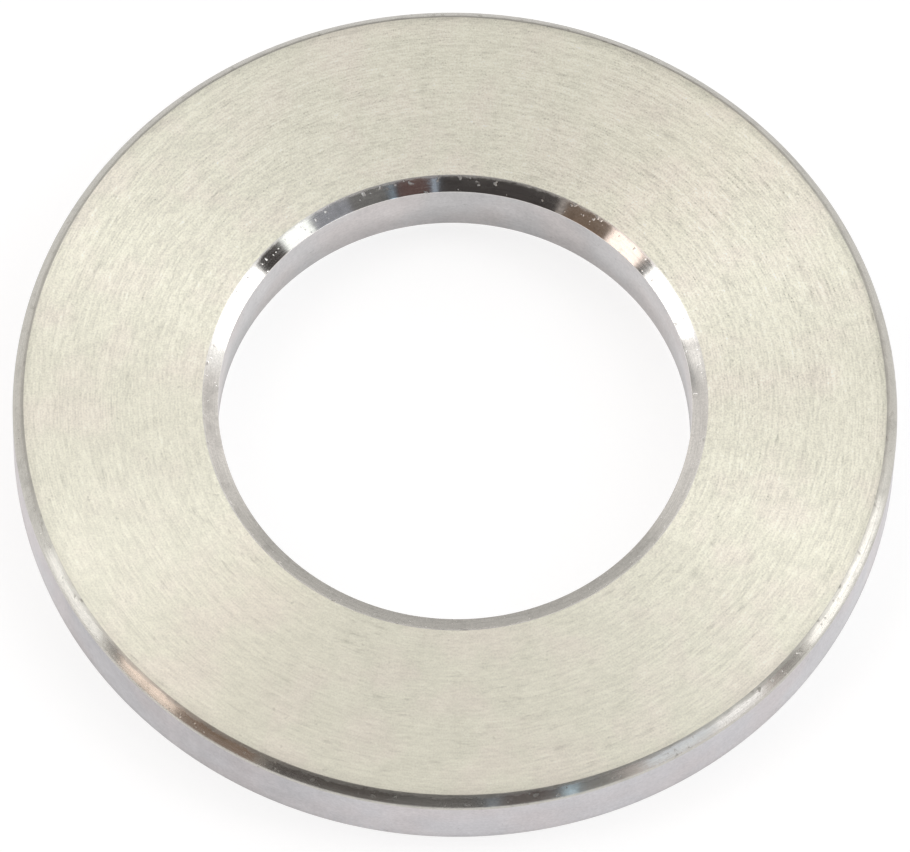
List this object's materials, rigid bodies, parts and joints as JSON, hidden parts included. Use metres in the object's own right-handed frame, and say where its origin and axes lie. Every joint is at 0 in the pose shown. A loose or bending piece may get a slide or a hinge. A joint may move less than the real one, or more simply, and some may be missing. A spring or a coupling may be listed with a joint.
{
  "type": "flat washer",
  "caption": "Flat round washer with a central bolt hole and bevelled edges on its upper face, which spreads a bolt's load.",
  "frame": {"origin": "centre of the bore in the plane of the lower face, the face that rests on the work", "axes": "+Z is the axis of the bore, from the lower face towards the bevelled upper face; X and Y lie in the lower face"},
  "size_m": [0.028, 0.028, 0.0025],
  "materials": {
    "turned_aluminium": "turned: fine concentric tool marks on the faces, polished bevels, satin rim and bore"
  },
  "bodies": {
    "root": {"washer_ring": "turned_aluminium"}
  },
  "joints": []
}
